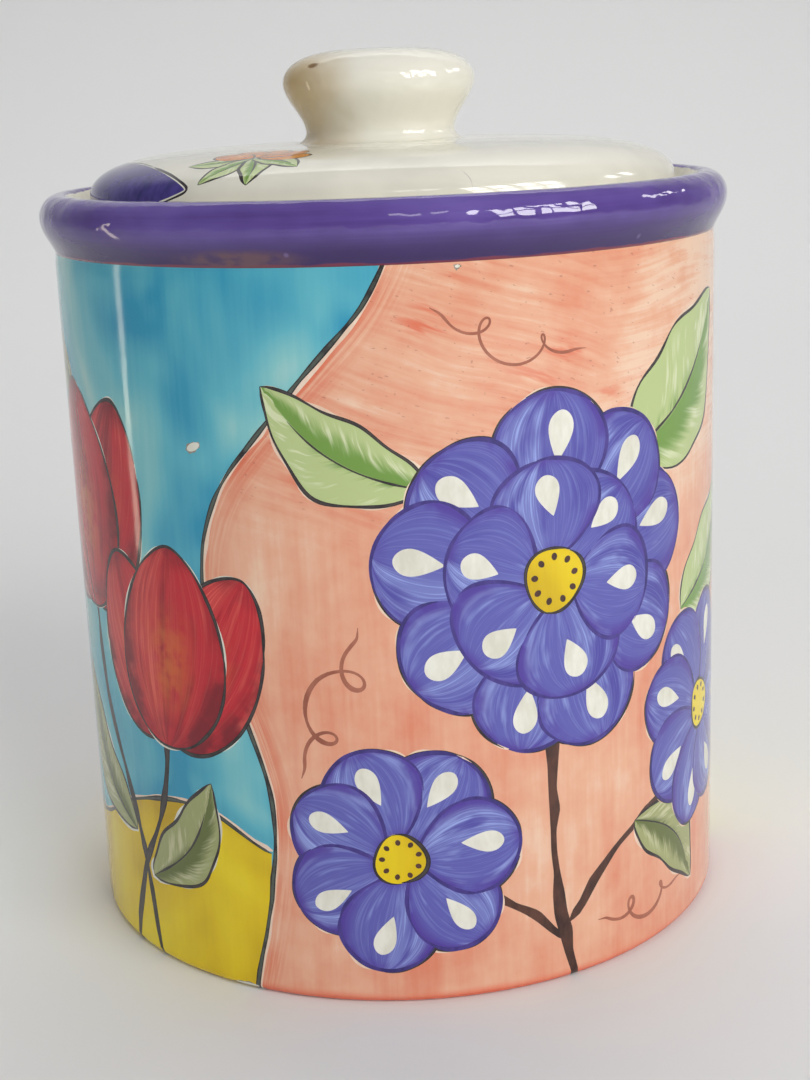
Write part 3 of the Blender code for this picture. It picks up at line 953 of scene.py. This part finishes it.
# The roll's outer side is a quarter of an ellipse, and below it the rim draws in to the neck
roll_middle = RIM_TOP - ROLL_HEIGHT
roll = []
for a in np.linspace(math.pi / 2, 0, 13):
    roll.append((RIM_RADIUS - ROLL_WIDTH * (1 - math.cos(a)), roll_middle + ROLL_HEIGHT * math.sin(a), 0.0))
flare = []
for share in np.linspace(1, 0, 15)[1:]:
    swell = math.sin(share * math.pi / 2) ** 1.3
    height = NECK_HEIGHT + (roll_middle - NECK_HEIGHT) * share
    flare.append((NECK_RADIUS + (RIM_RADIUS - NECK_RADIUS) * swell, height, 0.0))
rim_corners = [
    (SPIGOT_OUTER, NECK_HEIGHT, 0.0),
    (SPIGOT_OUTER, SPIGOT_FOOT, 1.0),
    (SPIGOT_INNER, SPIGOT_FOOT, 1.6),
    (SPIGOT_INNER, SPIGOT_BORE_TOP, 3.0),
    (THROAT, THROAT_FOOT, 2.0),
    (THROAT, LEDGE, 0.9),
    (LEDGE_RADIUS, LEDGE, 1.4),
    (LIP, RIM_TOP, 1.8),
    *roll,
    *flare,
    (SPIGOT_OUTER, NECK_HEIGHT, 0.0),
]

# Level violet streaks, painted shade low down under the roll, a thin red line at the neck, one smudge, a few
# pits
glaze = Glaze("violet_rim_glaze", 0.06)
x = glaze.node("SeparateXYZ", {0: glaze.place})
y, z = x.node.outputs[1], x.node.outputs[2]
out = glaze.maths("SQRT", glaze.sum((1.0, glaze.product(x, x)), (1.0, glaze.product(y, y))))
strokes = glaze.sum((0.30, glaze.noise(0.09, 0.002, detail=4.0)), (0.70, glaze.noise(0.045, 0.02)))
colour = glaze.scale(strokes, (0.36, (76, 54, 124)), (0.50, (92, 70, 146)), (0.64, (106, 86, 162)))
wobble = glaze.product(glaze.noise(0.012, detail=2.0), 0.0014)
low = glaze.maths("SUBTRACT", z, wobble)
# Painted shade: the violet darkens from under the roll down to the neck
colour = glaze.blend(glaze.span(low, 0.2165, 0.2070, 0.0, 0.95), colour, (48, 24, 88))
colour = glaze.blend(glaze.span(low, 0.2066, 0.2061), colour, (122, 44, 70))
smudge = glaze.product(
    glaze.span(glaze.from_spot((-0.037, -0.095, 0.2085), (0.022, 0.05, 0.0035)), 1.0, 0.3),
    glaze.span(glaze.noise(0.006, 0.003), 0.3, 0.6, 0.2, 0.75),
)
colour = glaze.blend(smudge, colour, (112, 78, 82))
PITS_OUT = 0.1018
pits = 0.0
for azimuth, height, size in (
    (42.0, 208.6, 0.45),
    (47.5, 208.4, 0.35),
    (63.0, 209.6, 0.30),
    (-14.0, 209.4, 0.35),
):
    turn = math.radians(azimuth)
    spot = (PITS_OUT * math.sin(turn), -PITS_OUT * math.cos(turn), height * MM)
    spot = glaze.node("VectorMath", {0: glaze.place, 1: spot}, 1, operation="DISTANCE")
    halo = glaze.span(spot, 3.2 * size * MM, 1.6 * size * MM, 0.0, 0.35)
    colour = glaze.blend(halo, colour, (150, 130, 190))
    pit = glaze.span(spot, size * MM, 0.6 * size * MM)
    colour = glaze.blend(pit, colour, (206, 198, 206))
    pits = glaze.maths("MAXIMUM", pit, pits)
lip = glaze.span(glaze.maths("ADD", out, wobble), 0.0962, 0.0959)
colour = glaze.blend(lip, colour, (226, 221, 205))
dimples = glaze.product(glaze.noise(0.0075, 0.005, detail=1.0), glaze.span(z, 0.2135, 0.2175, 0.1, 0.45))
dimples = glaze.sum((1.0, dimples), (-0.3, pits))
paint["rim"] = glaze.fired(colour, (0.03, 0.07), dimples)
glaze.shader.inputs["IOR"].default_value = 1.6

rim = Clay()
rim.turn(turned_rows(rim_corners, 7.0), EVEN_ANGLES, "rim")
rolled_rim = rim.fire("rolled_rim")
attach(rolled_rim, "jar")
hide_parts("rim_collar")


# The seal: a translucent silicone ring, moulded with two thin fins. It is stretched into the groove of the
# lid's flange, and its fins close the throat.
_, seal_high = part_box("seal_ring")
SEAL_BACK = 77.0
SEAL_FACE = 79.3
SEAL_TIP = seal_high.x / MM
FIN = 0.8
FIN_RISE = 0.4
SEAL_TOP = seal_high.z / MM - FIN_RISE
SEAL_FOOT = SEAL_TOP - 3.6
seal_corners = [
    (SEAL_BACK, SEAL_FOOT, 0.0),
    (SEAL_BACK, SEAL_TOP, 0.3),
    (SEAL_FACE, SEAL_TOP, 0.3),
    (SEAL_TIP, SEAL_TOP + FIN_RISE, 0.18),
    (SEAL_TIP, SEAL_TOP, 0.18),
    (SEAL_FACE, SEAL_TOP - FIN, 0.25),
    (SEAL_FACE, SEAL_FOOT + FIN, 0.25),
    (SEAL_TIP, SEAL_FOOT + FIN + FIN_RISE, 0.18),
    (SEAL_TIP, SEAL_FOOT + FIN, 0.18),
    (SEAL_FACE, SEAL_FOOT, 0.3),
    (SEAL_BACK, SEAL_FOOT, 0.0),
]
glaze = Glaze("clear_silicone", 0.0)
colour = glaze.blend(glaze.span(glaze.noise(0.02), 0.3, 0.7), (214, 216, 212), (198, 201, 198))
paint["silicone"] = glaze.fired(colour, (0.38, 0.5))
glaze.shader.inputs["Subsurface Weight"].default_value = 0.3
glaze.shader.inputs["Subsurface Radius"].default_value = (0.002, 0.002, 0.002)
glaze.shader.inputs["IOR"].default_value = 1.41
seal = Clay()
seal.turn(turned_rows(seal_corners, 20.0), EVEN_ANGLES, "silicone")
silicone_seal = seal.fire("silicone_seal")
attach(silicone_seal, "seal")
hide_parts("seal_ring")


# The lid: a low dome with a rounded shoulder, slip-cast, with a flange under it that goes down the throat.
# It is cream all over, with two small flowers and two dark crescents on top. The top is modelled as a flat
# disc, on which the distance from the middle is the distance along the dome, and then raised.
lid_low, lid_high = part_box("lid_dome")
LID_RADIUS = lid_high.x / MM
LID_TOP = lid_high.z / MM
LID_SEAT = lid_low.z / MM
LID_RISE = 14.0
LID_EDGE = 4.2
LID_EDGE_ROUND = 1.2
HOLLOW_RADIUS = LID_RADIUS - 5.5
HOLLOW_RISE = 11.6
DOME_SQUARENESS = 4.7
DOME_BLUNTNESS = 0.4
FLAT_TOP = 78.0
SHOULDER_ANGLE = 0.72
FLANGE = 78.5
FLANGE_WALL = 5.2
FLANGE_FOOT = 203.4
FLANGE_FILLET = 6.4
GROOVE = 76.7
GROOVE_TOP = 215.5
GROOVE_FOOT = 211.3
VENT = 3.0
SHEET_START = 19.0


def dome_height(radius, edge, rise):
    return rise * (1 - min(radius / edge, 1.0) ** DOME_SQUARENESS) ** DOME_BLUNTNESS


# The dome's line from the middle out: the flat top by its radius, the shoulder by its angle, then the edge
dome = []
for radius in np.linspace(0, FLAT_TOP, 40):
    dome.append((radius, LID_SEAT + LID_EDGE + dome_height(radius, LID_RADIUS, LID_RISE)))
for a in np.linspace(SHOULDER_ANGLE, 0, 22):
    radius = LID_RADIUS * math.cos(a) ** (2 / DOME_SQUARENESS)
    dome.append((radius, LID_SEAT + LID_EDGE + LID_RISE * math.sin(a) ** (2 * DOME_BLUNTNESS)))
dome += [(LID_RADIUS, z) for z in np.linspace(LID_SEAT + LID_EDGE, LID_SEAT + LID_EDGE_ROUND, 4)[1:]]
dome = np.array(dome)
reach = run_along(dome)
slope = unit(np.gradient(dome, reach, axis=0))

paints = []

sheet_start = float(np.interp(SHEET_START, dome[:, 0], reach))
sheet_end = float(reach[-1])
LID_COLUMNS = 176


def on_disc(distance, turn):
    """A place on the disc, by its distance from the middle and its angle from the front, to the right."""
    return np.stack([distance * np.sin(turn), -distance * np.cos(turn)], -1)


def lid_spray(azimuth, distance, scale, seed):
    """A small orange flower with green leaves below it."""
    centre = on_disc(distance, math.radians(azimuth))
    outward = math.atan2(centre[1], centre[0])
    for lean in (-1.25, -0.45, 0.4, 1.2):
        end = centre + 21 * scale * toward(outward + lean)
        leaf(tuple(centre), tuple(end), 4.6 * scale, 1.5, "leaf", seed + int(10 * lean), None)
    for i in range(5):
        heading = outward + math.pi + (i - 2) * 0.62
        petal = (tuple(centre + 1.5 * scale * toward(heading)), heading, 16 * scale, 5.2 * scale)
        shape = oval(*petal)
        dab("orange", shape, petal)
        draw_round("outline", shape, 0.9, seed + 50 + i)


def lid_sweep(azimuth, distance, reach, width, lean):
    """A dark violet crescent that follows the shoulder, with a line round it."""
    share = -np.cos(np.linspace(0, math.pi, 64))
    turn = np.radians(azimuth + reach * share)
    path = on_disc(distance + lean * share, turn)
    half = width / 2 * np.cos(share * math.pi / 2).clip(0) ** 0.8
    aside = unit(path) * half[:, None]
    shape = np.vstack([path + aside, (path - aside)[::-1][1:-1]])
    dab("indigo", shape)
    draw_round("outline", grown(shape, 0.6), 0.8, int(azimuth) + 720, 3)


lid_sweep(-64, 86, 27, 19.0, 3.0)
lid_spray(-29, 70, 0.9, 731)
lid_sweep(152, 86, 27, 19.0, 3.0)
lid_spray(187, 68, 0.9, 771)
stroke("hairline", hand_curve([(21, -82), (23.4, -85), (24.4, -88)], 1.0), 0.25, 831, 3.0)

# The disc's rings: every place of the dome's line on the shoulder, and every third one inside it
rings = [r for r in reach if sheet_start + 1.5 < r < sheet_end - 0.2]
rings = [sheet_start, *[r for i, r in enumerate(rings) if r > 80 or i % 3 == 0], sheet_end]
around = np.linspace(0, math.tau, LID_COLUMNS, endpoint=False)
grid = np.vstack([on_disc(r, around) for r in rings])
edges = []
for first in (0, len(grid) - LID_COLUMNS):
    edges += [(first + i, first + (i + 1) % LID_COLUMNS) for i in range(LID_COLUMNS)]
hole, brink = grid[:LID_COLUMNS], grid[-LID_COLUMNS:]
places, triangles, top = lay_paint(
    grid, edges, paints, lambda middles: inside(middles, brink) & ~inside(middles, hole)
)
distance = np.linalg.norm(places, axis=1)
distance = np.where(distance > sheet_end - 0.03, sheet_end, distance)
around = np.arctan2(places[:, 0], -places[:, 1]) % math.tau
radii, levels = (np.interp(distance, reach, dome[:, k]) for k in (0, 1))
along_r, along_z = (np.interp(distance, reach, slope[:, k]) for k in (0, 1))
lid_clay = Clay()
lid_clay.raise_sheet(around, radii, levels, -along_z, along_r)
lid_clay.paint_on(places, triangles, top, paints, "cream_glaze", 0 * radii)

brink_ring = [i for i in range(len(places)) if distance[i] == sheet_end]
brink_ring.sort(key=lambda i: around[i])
brink_angles = [around[i] for i in brink_ring]


def in_hollow(radius, rounding=0.0):
    return radius, LID_SEAT + dome_height(radius, HOLLOW_RADIUS, HOLLOW_RISE), rounding


# The under side: the flat edge that sits on the ledge, the dome's hollow, the flange with the seal's groove,
# the hollow inside it, and the vent into the knob
flange_inside = np.linspace(FLANGE - FLANGE_WALL, VENT, 14)
under_corners = [
    (LID_RADIUS, LID_SEAT + LID_EDGE_ROUND, 0.0),
    (LID_RADIUS, LID_SEAT, LID_EDGE_ROUND * 0.98),
    (HOLLOW_RADIUS, LID_SEAT, 0.6),
    *[in_hollow(radius) for radius in (82.4, 81.2, 79.8)],
    (FLANGE, LID_SEAT + FLANGE_FILLET, 0.8),
    (FLANGE, GROOVE_TOP, 0.3),
    (GROOVE, GROOVE_TOP, 0.3),
    (GROOVE, GROOVE_FOOT, 0.3),
    (FLANGE, GROOVE_FOOT, 0.3),
    (FLANGE, FLANGE_FOOT, 1.5),
    (flange_inside[0], FLANGE_FOOT, 1.5),
    in_hollow(flange_inside[0], 2.5),
    *[in_hollow(radius) for radius in flange_inside[1:]],
    (VENT, LID_TOP, 0.4),
    (SHEET_START + 0.4, LID_TOP - 0.02, 0.0),
]
lid_clay.turn(turned_rows(under_corners, 12.0), brink_angles, "cream_glaze", brink_ring)
lid = lid_clay.fire("lid")
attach(lid, "lid")
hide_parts("lid_dome", "lid_flange")


# The knob: a hollow mushroom, cast apart and joined to the lid with slip, so that its foot runs out into the
# dome. It has the lid's cream glaze, a pit near the cap's edge, and warm brown painted shade at its left.
_, knob_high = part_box("lid_knob")
KNOB_RADIUS = knob_high.x / MM
KNOB_TOP = knob_high.z / MM
KNOB_CAP = 9.3
KNOB_SQUARENESS = 3.6
KNOB_NECK = 22.5
KNOB_WIDEST = KNOB_TOP - KNOB_CAP
KNOB_FOOT = 26.0
KNOB_FILLET = 3.4
KNOB_WALL = 5.0

dome_top = LID_SEAT + LID_EDGE + dome_height(KNOB_FOOT, LID_RADIUS, LID_RISE)
knob_line = [(0.0, KNOB_TOP, 0.0)]
for a in np.radians([86, 80, 73, 66, 58, 50, 42, 34, 26, 18, 9]):
    radius = KNOB_RADIUS * math.cos(a) ** (2 / KNOB_SQUARENESS)
    knob_line.append((radius, KNOB_WIDEST + KNOB_CAP * math.sin(a), 0.0))
waist = KNOB_WIDEST - dome_top - 2.6
neck_levels = np.linspace(KNOB_WIDEST, dome_top + KNOB_FILLET, 20)
fillet_levels = dome_top + KNOB_FILLET * (1 - np.sin(np.linspace(0.08, 1.57, 12)))
for z in (*neck_levels, *fillet_levels):
    share = min((KNOB_WIDEST - z) / waist, 1.0)
    swell = (KNOB_RADIUS - KNOB_NECK) * (1 + math.cos(math.pi * share)) / 2
    above = min(z - dome_top, KNOB_FILLET) / KNOB_FILLET
    sweep = (KNOB_FOOT - KNOB_NECK) * (1 - math.sqrt(1 - (1 - above) ** 2))
    knob_line.append((KNOB_NECK + swell + sweep, z, 0.0))
knob_line += [
    (KNOB_FOOT - 0.6, dome_top - 0.7, 0.0),
    (KNOB_NECK - KNOB_WALL, dome_top, 0.5),
    (KNOB_NECK - KNOB_WALL, KNOB_WIDEST - 3.0, 3.0),
    (KNOB_RADIUS - 6.0, KNOB_TOP - KNOB_WALL, 3.5),
    (0.0, KNOB_TOP - KNOB_WALL, 0.0),
]
glaze = Glaze("knob_glaze", 0.06)
x = glaze.node("SeparateXYZ", {0: glaze.place})
# Painted shade: the cream turns darker and browner towards the knob's left side, away from the light
leftward = glaze.sum((1.0, x), (0.016, glaze.noise(0.02)))
colour = glaze.blend(glaze.span(leftward, 0.004, -0.022), (234, 231, 217), (196, 168, 114))
spot = glaze.from_spot((-0.0184, -0.0184, 0.2566), (0.0026, 0.003, 0.0010))
pit = glaze.span(glaze.sum((1.0, spot), (0.9, glaze.noise(0.0012))), 1.5, 0.9)
colour = glaze.blend(glaze.product(pit, 0.9), colour, (128, 92, 40))
dimples = glaze.sum((0.35, glaze.noise(0.006, detail=1.0)), (-0.15, pit))
paint["knob"] = glaze.fired(colour, (0.02, 0.05), dimples)
knob_clay = Clay()
knob_clay.turn(turned_rows(knob_line, 12.0), EVEN_ANGLES[::2], "knob")
knob = knob_clay.fire("knob")
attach(knob, "lid")
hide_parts("lid_knob")
